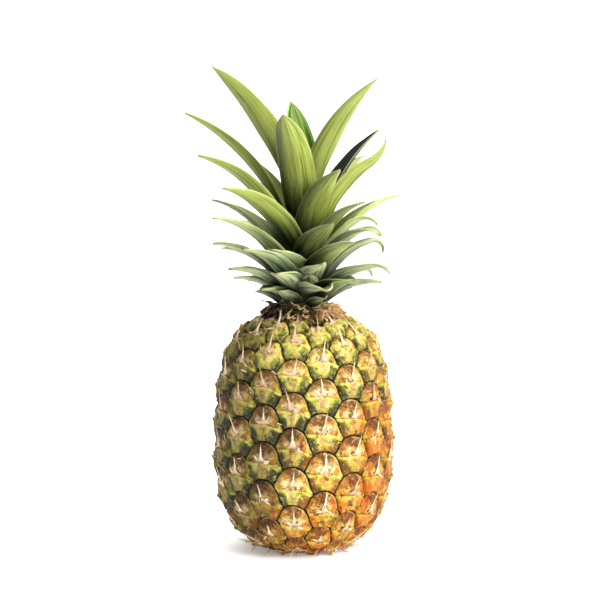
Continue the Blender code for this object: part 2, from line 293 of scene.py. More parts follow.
# The fruit's outline, in metres, as the CAD turns it
fruitBody = {
    "radius": 0.0566,
    "belly": 0.068,
    "above": (0.0825, 3.4),  # height and roundness of the upper half
    "below": (0.070, 2.6),
    "taper": 0.045,
    "neck": (0.0215, 0.1505),
    "tuck": (0.0165, -0.0030),
    "recess": (0.0154, 0.0060),
}

# The spiral of the eyes: each neighbour's turn and its steps along the spiral
eyeSpiral = {
    "turn": radians(-100),
    "start": radians(-97),
    "right": (radians(20), 7),
    "left": (radians(-20), 11),
    "first": -68,
    "last": 76,
    "rise": 0.00134,
    "riseLower": 0.00014,
    "shrink": 0.6,
    "bellyIndex": -5.3,
    "fade": 14,
}

# How the outline is walked: the step along the spiral, and how near to the poles
outlineWalk = {"step": 0.25, "pole": 0.02, "furthest": 90, "ahead": 1e-4}


def outlinePoint(angle):
    height, roundness = fruitBody["above" if angle > 0 else "below"]
    side, rise = cos(angle), sin(angle)
    reach = ((side / fruitBody["radius"]) ** roundness + (abs(rise) / height) ** roundness) ** (-1 / roundness)
    radius = reach * side * (1 - fruitBody["taper"] * max(rise, 0.0))
    return radius, fruitBody["belly"] + reach * rise


def walkOutline(step):
    angle, index, places, small = 0.0, eyeSpiral["bellyIndex"], [], outlineWalk["ahead"]
    while abs(angle) < pi / 2 - outlineWalk["pole"] and abs(index) < outlineWalk["furthest"]:
        radius, height = outlinePoint(angle)
        ahead = outlinePoint(angle + small)
        run, climb = (ahead[0] - radius) / small, (ahead[1] - height) / small
        speed = hypot(run, climb)
        places.append((index, radius, height, climb / speed, -run / speed))
        rise = eyeSpiral["rise"] - eyeSpiral["riseLower"] * sin(angle)
        angle += step * rise * (radius / fruitBody["radius"]) ** eyeSpiral["shrink"] / speed
        index += step
    return places


meridian = walkOutline(-outlineWalk["step"])[:0:-1] + walkOutline(outlineWalk["step"])


def strayed(turn, index):
    # no two eyes of a real fruit are quite in line: the whole lattice is warped a little
    wide, long = eyeForm["strayScale"]
    where = Vector((cos(turn) * wide, sin(turn) * wide, index * long))
    calm = ease(eyeSpiral["last"] + 2, eyeSpiral["last"] - 16, index)
    return (turn + eyeForm["stray"] * calm * noise.noise(where),
            index + eyeForm["strayRise"] * calm * noise.noise(where + Vector((7, 3, 5))))


def skinPlace(turn, index):
    # the point on the smooth fruit, and the ways out, up and sideways there
    turn, index = strayed(turn, index)
    place = (index - meridian[0][0]) / outlineWalk["step"]
    low = min(max(int(place), 0), len(meridian) - 2)
    part = min(max(place - low, 0.0), 1.0)
    _, radius, height, out, up = (mix(a, b, part) for a, b in zip(meridian[low], meridian[low + 1]))
    across, depth = cos(turn), sin(turn)
    point = Vector((radius * across, radius * depth, height))
    return (point, Vector((out * across, out * depth, up)), Vector((-up * across, -up * depth, out)),
            Vector((-depth, across, 0)))


# One eye, in millimetres: the dome above, the bract's skirt below, and the lip between them
eyeForm = {
    "spokes": 48,
    "rings": (0.0, 0.08, 0.16, 0.26, 0.37, 0.48, 0.59, 0.69, 0.78, 0.86, 0.925, 0.97, 1.0),
    "circle": 10.4,
    "leftTip": (-12.85, -1.6),
    "rightTip": (13.54, -6.4),
    "ledge": -0.27,
    "ledgeDrop": (0.0, 0.27),
    "stray": 0.030,
    "strayRise": 0.9,
    "strayScale": (1.6, 0.038),
    "flare": 6,
    "crevice": -2.6,
    "dome": 0.8,
    "domeShape": 7.0,
    "crease": 0.6,
    "creaseWidth": 0.12,
    "ripple": 0.20,
    "dent": 1.1,
    "skirt": 1.7,
    "skirtFall": 1.0,
    "skirtEdge": 0.93,
    "skirtRound": 1.3,
    "pleat": 0.22,
    "wave": 0.06,
    "lip": 0.9,
    "keel": 0.5,
    "pit": 1.6,
    "pitSize": 0.085,
    "pitRise": 0.17,
    "wrinkle": 0.7,
    "wrinkleScale": 260,
}

# How far each eye may differ from that form
eyeMoods = {
    "swell": (-0.5, 0.5),
    "ledge": (-0.05, 0.05),
    "phase": (0, 6),
    "crease": (0.6, 0.95),
    "pitOut": (0.17, 0.27),
}


def onSkin(step):
    # a neighbour's turn and rise as millimetres on the unrolled skin
    return Vector((step[0] * fruitBody["radius"], step[1] * eyeSpiral["rise"])) * 1000


def eyeBorder(angle):
    # scales in rows: the upper border is an arc of the eye's own circle, the lower one its neighbours' arcs
    right, left = onSkin(eyeSpiral["right"]), onSkin(eyeSpiral["left"])
    sixth = angle % (pi / 3) - pi / 6
    facing = round(degrees(angle - sixth)) % 360
    part = (tan(sixth) / tan(pi / 6) + 1) / 2
    away = {210: -right, 270: -right - left, 330: -left}.get(facing, Vector((0, 0)))
    if facing > 180:
        facing, part = facing - 180, 1 - part
    leftTip, rightTip = Vector(eyeForm["leftTip"]), Vector(eyeForm["rightTip"])
    upperRight, upperLeft = right + leftTip, left + rightTip
    ends = {30: (rightTip, upperRight), 90: (upperRight, upperLeft), 150: (upperLeft, leftTip)}
    start, end = ends[facing]
    turned = mix(atan2(start.y, start.x), atan2(end.y, end.x) % (2 * pi), part)
    circle = eyeForm["circle"]
    reach = circle + (start.length - circle) * (1 - part) ** eyeForm["flare"]
    reach += (end.length - circle) * part ** eyeForm["flare"]
    return away + Vector((cos(turned), sin(turned))) * reach


def makeEyeDisc(places, marks):
    # a spun disc, drawn out to the border that it shares with its neighbours
    bm = spinProfile([(radius, 0) for radius in eyeForm["rings"]], eyeForm["spokes"], near=1e-5)
    circle = eyeForm["circle"]
    for vert in bm.verts:
        ring = min(vert.co.length, 1.0)
        border = eyeBorder(atan2(vert.co.y, vert.co.x)) * ring
        flat = (vert.co.xy * circle).lerp(border, ring ** 1.5)
        turn, rise = flat.x / fruitBody["radius"] / 1000, flat.y / eyeSpiral["rise"] / 1000
        places[vert] = (turn, rise, flat.x / circle, flat.y / circle, ring)
    spot = bm.loops.layers.uv.new("eyePlace")
    wheel = bm.loops.layers.uv.new("eyeRing")
    marks["chance"] = bm.faces.layers.float.new("eyeChance")
    for face in bm.faces:
        for loop in face.loops:
            loop[spot].uv = places[loop.vert][2:4]
            loop[wheel].uv = (places[loop.vert][4], 0.0)
    if sum(face.normal.z for face in bm.faces) < 0:
        bmesh.ops.reverse_faces(bm, faces=bm.faces)
    return bm


def eyeHeight(side, up, ring, mood):
    form = eyeForm
    angle = atan2(side, up)
    dome = form["crevice"] + (form["dome"] + mood["swell"] - form["crevice"]) * (1 - ring ** form["domeShape"])
    inside = ease(0.1, 0.4, ring) * (1 - ease(0.75, 0.97, ring))
    dome -= form["crease"] * exp(-((abs(angle) - mood["crease"]) / form["creaseWidth"]) ** 2) * inside
    dome += form["ripple"] * sin(angle * 19 + mood["phase"]) * sin(ring * 9 + mood["phase"]) * inside
    dome -= form["dent"] * ease(0.35, 0.75, up) * exp(-(side / 0.5) ** 2) * (1 - ease(0.85, 1.0, ring))
    for way in (-1, 1):
        rise = (up - form["ledge"] - form["pitRise"]) * 0.85
        away = hypot(side - way * mood["pitOut"], rise) / form["pitSize"]
        dome -= form["pit"] * mood["pits"][way] * exp(-away ** 2)
    fall = 1 - ease(form["skirtEdge"], 0.998, ring)
    under = form["ledge"] - up
    skirt = form["crevice"] + (form["skirt"] - form["crevice"] - form["skirtFall"] * min(1.0, under)
                               - form["skirtRound"] * side * side) * fall
    skirt += form["pleat"] * sin(side * 13 + mood["phase"]) * ease(0.0, 0.3, under) * fall
    wave = form["wave"] * sin(side * 5 + mood["phase"])
    ledge = form["ledge"] + mood["ledge"] + wave - form["ledgeDrop"][side > 0] * side * side
    below = ease(ledge + 0.03, ledge - 0.03, up)
    lip = form["lip"] * exp(-((up - ledge + 0.05) / 0.06) ** 2) * fall
    keel = form["keel"] * exp(-(side / 0.12) ** 2) * ease(-0.85, -0.2, up) * (1 - ease(0.0, 0.2, up))
    return mix(dome, skirt, below) + lip + keel * (1 - ease(0.8, 0.95, ring))


def addEye(bm, disc, places, marks, index, draw):
    made = bmesh.ops.duplicate(bm, geom=disc)
    start = eyeSpiral["start"] + eyeSpiral["turn"] * index
    fade = min(1.0, (eyeSpiral["last"] + 4 - index) / eyeSpiral["fade"])
    mood = drawn(draw, eyeMoods)
    mood["pits"] = {-1: draw.choice((0.2, 1.0)), 1: draw.choice((0.1, 0.9))}
    for old, new in made["vert_map"].items():
        if old not in places:
            continue
        turn, rise, side, up, ring = places[old]
        point, out, _, _ = skinPlace(start + turn, index + rise)
        lift = eyeHeight(side, up, ring, mood)
        if ring < 0.99:
            wrinkle = noise.fractal(point * eyeForm["wrinkleScale"], 0.9, 2.1, 3)
            lift += eyeForm["wrinkle"] * wrinkle * (1 - ease(0.8, 1.0, ring))
        new.co = point + out * 0.001 * min(lift, lift * fade)
    chance = draw.random()
    for item in made["geom"]:
        if isinstance(item, bmesh.types.BMFace):
            item[marks["chance"]] = chance


def drawRim(bm, edges, radius, height):
    # pulls an open rim to a ring and gives back the new rim
    made = bmesh.ops.extrude_edge_only(bm, edges=edges)["geom"]
    for vert in (item for item in made if isinstance(item, bmesh.types.BMVert)):
        turn = atan2(vert.co.y, vert.co.x)
        vert.co = Vector((radius * cos(turn), radius * sin(turn), height))
    return [item for item in made if isinstance(item, bmesh.types.BMEdge) and item.is_boundary]


def makeFruit():
    places, marks = {}, {}
    draw = random.Random(7)
    bm = makeEyeDisc(places, marks)
    disc = bm.verts[:] + bm.edges[:] + bm.faces[:]
    for index in range(eyeSpiral["first"], eyeSpiral["last"] + 1):
        addEye(bm, disc, places, marks, index, draw)
    bmesh.ops.delete(bm, geom=disc, context="VERTS")
    bmesh.ops.remove_doubles(bm, verts=bm.verts, dist=2e-6)
    rim = [edge for edge in bm.edges if edge.is_boundary]
    top = [edge for edge in rim if edge.verts[0].co.z > fruitBody["belly"]]
    foot = [edge for edge in rim if edge.verts[0].co.z < fruitBody["belly"]]
    bmesh.ops.contextual_create(bm, geom=drawRim(bm, top, *fruitBody["neck"]))
    drawRim(bm, foot, *fruitBody["tuck"])
    everything = bm.verts[:] + bm.edges[:] + bm.faces[:]
    bmesh.ops.bisect_plane(bm, geom=everything, dist=1e-6, plane_co=(0, 0, 0), plane_no=(0, 0, -1),
                           clear_outer=True)
    foot = [edge for edge in bm.edges if edge.is_boundary]
    foot = drawRim(bm, foot, fruitBody["recess"][0], 0.0)
    foot = drawRim(bm, foot, *fruitBody["recess"])
    bmesh.ops.contextual_create(bm, geom=foot)
    faceOutward(bm)
    return bm


# Colours of the skin, as the eye sees them under white light
skinTones = {
    "dome": (196, 130, 30),
    "domePale": (222, 174, 76),
    "domeBrown": (92, 44, 12),
    "domeOlive": (74, 64, 30),
    "domeOrange": (212, 108, 28),
    "cream": (250, 226, 160),
    "skirt": (174, 180, 36),
    "skirtPale": (244, 232, 104),
    "skirtGreen": (100, 128, 18),
    # painted shade on the skirt's flanks
    "skirtShade": (28, 44, 10),
    "ripe": (242, 146, 0),
    "pink": (172, 122, 92),
    # painted shade in the crevices
    "crevice": (14, 14, 6),
    "shaded": (146, 142, 98),
    "creamShaded": (204, 180, 138),
    # a warm tint, partly painted shade on the far right
    "warmRightShade": (206, 190, 128),
    "honey": (252, 226, 150),
    # pale tone, used for the painted rim highlight and for pale streaks
    "rim": (238, 216, 150),
    "spot": (34, 14, 6),
}


def skinLook():
    look = Look("pineappleSkin", specular=0.3, tones=skinTones)
    ramp, blend, grain = look.ramp, look.blend, look.grain
    place = look.place()
    east, _, height = look.split(place)
    flatSide, flatUp = look.onPiece("eyePlace")
    ring, _ = look.onPiece("eyeRing")
    chance = look.number("eyeChance")
    wide = grain(place, 95, 4)
    fine = grain(place, 520, 5, 0.65)
    coarse = grain(place, 26, 2)
    blot = grain(place, 230, 4, 0.65)
    patch = grain(place, 150, 3, 0.6)
    side = flatSide + (wide - 0.5) * 0.5
    up = flatUp - eyeForm["ledge"] + (blot - 0.5) * 0.4
    below = 0 - up
    out = abs(side)
    # riper towards the lower right as the camera sees it, greener and duller to the left and the top, and darker to
    # the left in painted shade
    ripeness = ramp(east * 12 - height * 12 + (coarse - 0.5) * 0.8 + (chance - 0.5) * 0.4, -0.90, -0.22)
    blush = ramp(east * 12 - height * 3 + (coarse - 0.5) * 1.0 + (chance - 0.5) * 0.8, -0.60, 0.30)
    dullAndShadedLeft = ramp(0 - east * 17 + (coarse - 0.5) * 0.8 + (chance - 0.5) * 0.4, -0.1, 0.85)
    young = ramp(height, 0.105, 0.150)
    # the dome: ochre, brown at the top, with two cream wings beside the middle
    dome = blend(ramp(patch, 0.38, 0.6), "dome", "domePale")
    dome = blend(blush * ramp(wide, 0.40, 0.58) * 0.8, dome, "domeOrange")
    dome = blend(young * ramp(blot, 0.42, 0.55) * 0.6, dome, "skirtPale")
    brown = ramp(up * 0.8 + (patch - 0.5) * 2.2 - out * 0.6, 0.22, 0.50)
    dome = blend(brown * (0.78 - young * 0.5), dome, "domeBrown")
    wing = abs(out - 0.30) * 1.4 + abs(up - 0.22 - out * 0.15) * 1.7
    wing = 1 - ramp(wing + (patch - 0.5) * 0.9 + (chance - 0.5) * 0.3, 0.26, 0.72)
    dome = blend(wing * 0.95, dome, "cream")
    spine = (1 - ramp(out, 0.05, 0.17)) * ramp(0.62 - up, 0.0, 0.2)
    dome = blend(spine * 0.8, dome, "cream")
    dome = blend(dullAndShadedLeft * ramp(out + up, 0.2, 0.7) * 0.45, dome, "domeOlive")
    # painted highlight: a thin pale line round the dome's rim, stronger towards the right
    rimHighlight = ramp(ring, 0.84, 0.88) * (1 - ramp(ring, 0.90, 0.94))
    rimHighlight = rimHighlight * ramp(blot + side * 0.25, 0.44, 0.58)
    dome = blend(rimHighlight * 0.85, dome, "rim")
    # the skirt: a pale bowl under the middle of the ledge, and green flanks that go dark in painted shade towards the
    # crevices
    bowl = 1 - ramp(out * 1.0 + below * 0.40 + (patch - 0.5) * 0.6, 0.44, 0.74)
    flank = blend(ramp(below + (blot - 0.5) * 0.6, 0.10, 0.45), "skirt", "skirtGreen")
    edge = ramp(ring + (patch - 0.5) * 0.6 + below * 0.22 - young * 0.08, 0.68, 0.97)
    flank = blend(edge * 0.95, flank, "skirtShade")
    flank = blend(ripeness * ramp(wide, 0.32, 0.56) * 0.85, flank, "ripe")
    pale = blend(ramp(patch + (fine - 0.5) * 0.5, 0.36, 0.6), "skirt", "skirtPale")
    pale = blend(ramp(blot, 0.44, 0.54) * (1 - ramp(below, 0.3, 0.7)) * 0.7, pale, "cream")
    middle = (1 - ramp(out + below * 0.2, 0.15, 0.45)) * ramp(below, 0.02, 0.14)
    pale = blend(middle * ramp(blot, 0.36, 0.5) * 0.75, pale, "pink")
    pale = blend(middle * ramp(patch, 0.52, 0.64) * 0.5, pale, "domeBrown")
    pale = blend(ripeness * ramp(wide, 0.38, 0.6) * 0.7, pale, "ripe")
    skirt = blend(bowl, flank, pale)
    # painted highlight: a pale yellow band just under the ledge
    ledgeHighlight = (1 - ramp(below + (blot - 0.5) * 0.3, 0.08, 0.26)) * ramp(patch + out * 0.2, 0.40, 0.56)
    skirt = blend(ledgeHighlight * 0.8, skirt, "skirtPale")
    rightward = ramp(flatSide, -0.05, 0.05)
    overLedge = flatUp + flatSide * flatSide * rightward * eyeForm["ledgeDrop"][1] - eyeForm["ledge"]
    colour = blend(ramp(overLedge + (blot - 0.5) * 0.04, -0.02, 0.02), skirt, dome)
    # beyond the round dome the ledge runs out into pointed green tips
    spread = look.node("ShaderNodeVectorMath", {"operation": "LENGTH"}, {0: look.vector(flatSide, flatUp)}, out=1)
    tip = ramp(spread + (blot - 0.5) * 0.15, 0.84, 0.94) * (1 - ramp(flatUp, 0.20, 0.50))
    tip = tip * ramp(overLedge, -0.25, -0.05)
    wingTone = blend(ramp(patch, 0.36, 0.54), "skirtGreen", "skirtPale")
    colour = blend(tip * (1 - ripeness * 0.5), colour, wingTone)
    underLedge = ramp(overLedge, 0.0, 0.02) * (1 - ramp(overLedge, 0.05, 0.10))
    underLedge = underLedge * ramp(blot, 0.40, 0.5)
    colour = blend(underLedge * 0.5, colour, "domeBrown")
    # dark pits beside the middle, freckles, and fibres that run up the eye
    pit = 1 - ramp(abs(abs(flatSide) - 0.21), 0.04, 0.10)
    pit = pit * (1 - ramp(abs(flatUp + 0.13), 0.05, 0.12))
    colour = blend(pit * ramp(wide, 0.42, 0.5), colour, "spot")
    freckle = ramp(grain(place, 330, 2), 0.56, 0.64) * ramp(coarse, 0.3, 0.6)
    colour = blend(freckle * 0.85, colour, "domeBrown")
    streak = grain(look.vector(flatSide * 8 + chance * 30, flatUp * 1.5, chance * 5), 3, 4, 0.7)
    above = ramp(overLedge, -0.05, 0.05)
    colour = blend(ramp(streak, 0.47, 0.66) * (0.3 + above * 0.3), colour, "domeBrown")
    colour = blend(ramp(streak, 0.46, 0.30) * 0.5, colour, "rim")
    colour = blend(young * ramp(blot, 0.4, 0.6) * (1 - brown) * 0.55, colour, "skirtPale")
    # blotches of a millimetre or two, then painted shade on the dull left flank, with a shaded cream on its wings, and
    # a warm tint on the far right that is partly painted shade
    mottle = grain(place, 420, 3, 0.7) + (blot - 0.5) * 0.8
    blotched = ramp(mottle, 0.50, 0.34) * (0.25 + above * 0.2 - young * 0.2)
    colour = blend(blotched, colour, "domeBrown")
    colour = blend(ramp(mottle, 0.54, 0.70) * 0.35, colour, "cream")
    colour = blend(dullAndShadedLeft * 0.95, colour, "shaded", "MULTIPLY")
    colour = blend(dullAndShadedLeft * wing * above * 0.5, colour, "creamShaded")
    # partly painted shade: a warm multiply darkens the far right
    colour = blend(ramp(east, 0.015, 0.055) * 0.9, colour, "warmRightShade", "MULTIPLY")
    colour = blend(ripeness * 0.8, colour, "honey", "MULTIPLY")
    # painted shade: the crevices round each eye go nearly black, most over the dome's top
    creviceShade = ramp(ring + (blot - 0.5) * 0.10 + ramp(overLedge, -0.1, 0.1) * 0.03, 0.955, 1.0)
    creviceShade = creviceShade * (1 - ramp(height, 0.1455, 0.1485) * 0.8) * (0.55 + above * 0.45)
    colour = blend(creviceShade, colour, "crevice")
    roughness = 0.46 + fine * 0.3 + creviceShade * 0.2
    return look.finish(colour, roughness, fine * 0.5 + blot + streak * 0.6, depth=0.0016, strength=1.0)


showPiece(makeFruit(), "fruitSkin", skinLook(), "fruit")


def addRibbon(bm, marks, root, frameOf, ribbon):
    # a dry pointed strip: it sets off along up, stands off by degrees, curls and twists on its way
    out, up, side = frameOf
    rows, across = ribbon["rows"], ribbon.get("across", 2)
    made = bmesh.ops.create_grid(bm, x_segments=across, y_segments=rows, size=1.0)["verts"]
    lean, path, point = radians(ribbon["lean"]), [], Vector(root)
    for row in range(rows + 1):
        along = row / rows
        angle = radians(ribbon["stand"] + ribbon["curl"] * along)
        ahead = (up * cos(angle) * cos(lean) + out * sin(angle)
                 + side * cos(angle) * sin(lean))
        point = point + ahead * ribbon["length"] / rows if row else point
        path.append((point, ahead))
    spots = {}
    for vert in made:
        across, along = vert.co.x, (vert.co.y + 1) / 2
        spots[vert] = (across, along)
        point, ahead = path[round(along * rows)]
        flat = (side - ahead * side.dot(ahead)).normalized()
        off = flat.cross(ahead)
        roll = ribbon.get("twist", 0.0) * along
        flat, off = flat * cos(roll) + off * sin(roll), off * cos(roll) - flat * sin(roll)
        spike, base = ribbon.get("spike", 0.0), 1 - along
        half = ribbon["width"] / 2 * (mix(base ** 0.8, base ** 6, spike) + spike * 0.15 * (1 - along ** 3))
        half *= 1 + ribbon.get("ragged", 0.0) * noise.noise(Vector((along * 9, across, ribbon["chance"] * 60)))
        vert.co = point + flat * half * across - off * half * ribbon.get("cup", 0.3) * across * across
    for face in {face for vert in made for face in vert.link_faces}:
        face[marks["chance"]] = ribbon["chance"]
        for loop in face.loops:
            loop[marks["blade"]].uv = spots[loop.vert]


def startRibbons():
    bm = bmesh.new()
    return bm, {"chance": bm.faces.layers.float.new("chance"), "blade": bm.loops.layers.uv.new("blade")}


def thicken(bm, thick, floor=-1.0):
    # gives the sheets a thickness, and lifts what reaches below the floor
    for vert in bm.verts:
        vert.co.z = max(vert.co.z, floor)
    faceOutward(bm)
    bmesh.ops.solidify(bm, geom=bm.faces[:], thickness=thick)
    faceOutward(bm)
    return bm


# The papery apex of each bract: a torn sheet that narrows to a spike and lies up over the dome
bractApex = {
    "rows": 10,
    "across": 4,
    "spike": 1.0,
    "ragged": 0.9,
    "cup": 0.12,
}
apexRanges = {
    "length": (0.0105, 0.0150),
    "width": (0.0048, 0.0085),
    "stand": (2, 14),
    "curl": (-8, 16),
    "lean": (-14, 14),
}

# The torn rays beside it, and the stray hairs that catch the light along the outline
rayRanges = {
    "length": (0.002, 0.006),
    "width": (0.0010, 0.0030),
    "stand": (-4, 8),
    "curl": (-10, 14),
    "lean": (20, 150),
}
hairRanges = {
    "length": (0.003, 0.007),
    "width": (0.0002, 0.0006),
    "stand": (10, 60),
    "curl": (-40, 40),
    "lean": (-60, 60),
}
bractPaper = {"thick": 0.00032, "below": 1.8, "lift": 0.0014, "rays": (2, 3, 4), "hairs": 150, "floor": 0.0008}


def makeBractPoints():
    draw = random.Random(23)
    bm, marks = startRibbons()
    for index in range(eyeSpiral["first"] + 4, eyeSpiral["last"] + 1):
        turn = eyeSpiral["start"] + eyeSpiral["turn"] * index
        small = min(1.0, (eyeSpiral["last"] + 6 - index) / eyeSpiral["fade"])
        point, out, up, side = skinPlace(turn, index - bractPaper["below"])
        apex = {**bractApex, **drawn(draw, apexRanges), "chance": draw.random()}
        apex["length"] *= mix(0.6, 1.0, small)
        apex["width"] *= mix(0.5, 1.0, small)
        root = point + out * bractPaper["lift"] * small
        addRibbon(bm, marks, root, (out, up, side), apex)
        for _ in range(draw.choice(bractPaper["rays"])):
            way = draw.choice((-1, 1))
            ray = {**apex, "rows": 4, "across": 2, "spike": 0.0, **drawn(draw, rayRanges)}
            ray["length"] *= small
            ray["lean"] *= way
            addRibbon(bm, marks, root + side * way * draw.uniform(0.0, 0.0025) * small, (out, up, side), ray)
    for step in range(bractPaper["hairs"]):
        turn = step * 2.4 + draw.uniform(-0.3, 0.3)
        index = draw.uniform(eyeSpiral["first"] + 6, eyeSpiral["last"] - 4)
        point, *ways = skinPlace(turn, index)
        hair = {"rows": 4, "across": 1, **drawn(draw, hairRanges), "chance": draw.random()}
        addRibbon(bm, marks, point, ways, hair)
    return thicken(bm, bractPaper["thick"], bractPaper["floor"])


def pointLook():
    look = Look("bractPoints", specular=0.3)
    place = look.place()
    across, along = look.onPiece("blade")
    chance = look.number("chance")
    streak = look.grain(look.vector(across * 3 + chance * 20, along * 1.5, chance * 7), 4, 4, 0.65)
    blot = look.grain(place, 300, 3, 0.6)
    ochre = look.ramp(streak + (chance - 0.5) * 0.4, 0.4, 0.7)
    colour = look.blend(ochre, tone(240, 222, 188), tone(206, 168, 128))
    root = 1 - look.ramp(along + (blot - 0.5) * 0.3, 0.0, 0.4)
    colour = look.blend(root * 0.8, colour, tone(190, 146, 118))
    colour = look.blend(look.ramp(blot, 0.56, 0.68) * 0.75, colour, tone(128, 74, 40))
    return look.finish(colour, 0.65, streak, depth=0.0004)


showPiece(makeBractPoints(), "bractPoints", pointLook())


# The collar of dry bracts: rings of curled strips, each ring with its place, count and leans
collarRings = [
    {"count": 32, "radius": 0.0212, "height": 0.1512, "ranges": {}},
    {"count": 30, "radius": 0.0196, "height": 0.1526,
     "ranges": {"length": (0.005, 0.0100), "stand": (78, 114), "curl": (-60, 80)}},
    {"count": 26, "radius": 0.0176, "height": 0.1542,
     "ranges": {"length": (0.004, 0.0090), "stand": (62, 100), "curl": (-50, 70)}},
]
collarRanges = {
    "length": (0.005, 0.0095),
    "width": (0.004, 0.0085),
    "stand": (92, 130),
    "curl": (-50, 60),
    "lean": (-35, 35),
    "twist": (-1.2, 1.2),
    "cup": (0.2, 0.9),
}

# Thin dark threads that hang out of the collar
neckWisps = {
    "count": 18,
    "radius": 0.0165,
    "height": (0.152, 0.158),
    "shape": {"length": (0.011, 0.018), "width": (0.0012, 0.0022), "stand": (82, 108)},
    "curl": (20, 70),
    "sway": {"lean": (-20, 20), "twist": (-2, 2)},
    "thick": 0.0004,  # of the collar too
}


def standingRoot(turn, radius, height):
    # a place round the neck, and the ways out, up and sideways there
    out = Vector((cos(turn), sin(turn), 0))
    return out * radius + Vector((0, 0, height)), (out, Vector((0, 0, 1)), Vector((-out.y, out.x, 0)))


def makeNeckBracts():
    draw = random.Random(11)
    bm, marks = startRibbons()
    for ring in collarRings:
        for step in range(ring["count"]):
            turn = (step + draw.uniform(-0.35, 0.35)) * 2 * pi / ring["count"]
            root, ways = standingRoot(turn, ring["radius"], ring["height"] + draw.uniform(-0.001, 0.001))
            ranges = {**collarRanges, **ring["ranges"]}
            strip = {"rows": 8, "across": 4, **drawn(draw, ranges), "ragged": 0.7, "chance": draw.random()}
            addRibbon(bm, marks, root, ways, strip)
    for _ in range(neckWisps["count"]):
        turn = draw.uniform(0, 2 * pi)
        root, ways = standingRoot(turn, neckWisps["radius"], draw.uniform(*neckWisps["height"]))
        addRibbon(bm, marks, root, ways, {
            "rows": 10,
            "across": 2,
            **drawn(draw, neckWisps["shape"]),
            "curl": draw.choice((-1, 1)) * draw.uniform(*neckWisps["curl"]),
            **drawn(draw, neckWisps["sway"]),
            "ragged": 0.4,
            "chance": draw.random(),
        })
    return thicken(bm, neckWisps["thick"])


def collarLook():
    look = Look("dryCollar", specular=0.3)
    place = look.place()
    east, _, _ = look.split(place)
    across, along = look.onPiece("blade")
    chance = look.number("chance")
    streak = look.grain(look.vector(across * 3 + chance * 20, along * 1.2, chance * 7), 4, 4, 0.65)
    # painted light and shade: near-black towards the left, tan towards the lamp on the right
    ochre = look.ramp(east * 34 + (chance - 0.5) * 1.2, -0.30, 0.45)
    colour = look.blend(ochre, tone(30, 14, 16), tone(190, 140, 88))
    # painted highlight: pale streaks, strongest on the lit right
    pale = look.ramp(streak + (chance - 0.5) * 0.5, 0.42, 0.66)
    colour = look.blend(pale * (0.10 + ochre * 0.8), colour, tone(240, 204, 150))
    colour = look.blend(look.ramp(streak + along * 0.25, 0.28, 0.52), tone(48, 20, 14), colour)
    return look.finish(colour, 0.6, streak, depth=0.0005)


showPiece(makeNeckBracts(), "neckBracts", collarLook(), "neck_bracts")


# Thin dry shreds round the cut base
footWisps = {"count": 34, "thick": 0.0003, "floor": 0.0006, "lowest": 0.0015}
footRanges = {
    "length": (0.004, 0.012),
    "width": (0.0012, 0.0022),
    "stand": (20, 60),
    "curl": (-30, 30),
    "lean": (-70, 70),
    "twist": (-1, 1),
}


def makeFootWisps():
    draw = random.Random(31)
    bm, marks = startRibbons()
    for step in range(footWisps["count"]):
        turn = step * 2.4 + draw.uniform(-0.2, 0.2)
        index = draw.uniform(eyeSpiral["first"] + 2, eyeSpiral["first"] + 14)
        point, *ways = skinPlace(turn, index)
        if point.z < footWisps["lowest"]:
            continue
        shred = {"rows": 6, "across": 2, **drawn(draw, footRanges), "ragged": 0.5, "chance": draw.random()}
        addRibbon(bm, marks, point, ways, shred)
    return thicken(bm, footWisps["thick"], footWisps["floor"])


showPiece(makeFootWisps(), "footWisps", pointLook())


# The spiral of leaves on the short stem, as the CAD grows it, in metres and degrees
crownSpiral = {
    "turn": 137.5,
    "start": -100,
    "first": -3,
    "last": 41,
    "foot": 0.158,
    "rise": 0.046,
    "riseFade": 12,
    "length": 0.105,
    "lengthStep": 0.0016,
    "width": 0.0257,
    "widthStep": 0.00014,
    "root": 0.0045,
    "lean": (16, 44, 40, 1.7),
    "tip": (52, 42, 16),
}

# The short stem that carries them, and the rows of leaf scars on it
crownStem = {
    "foot": 0.1510,
    "tip": 0.2120,
    "radius": 0.0165,
    "tipRadius": 0.0095,
    "rows": 90,
    "steps": 64,
    "scar": 0.0007,
    "scarRate": 900,
}

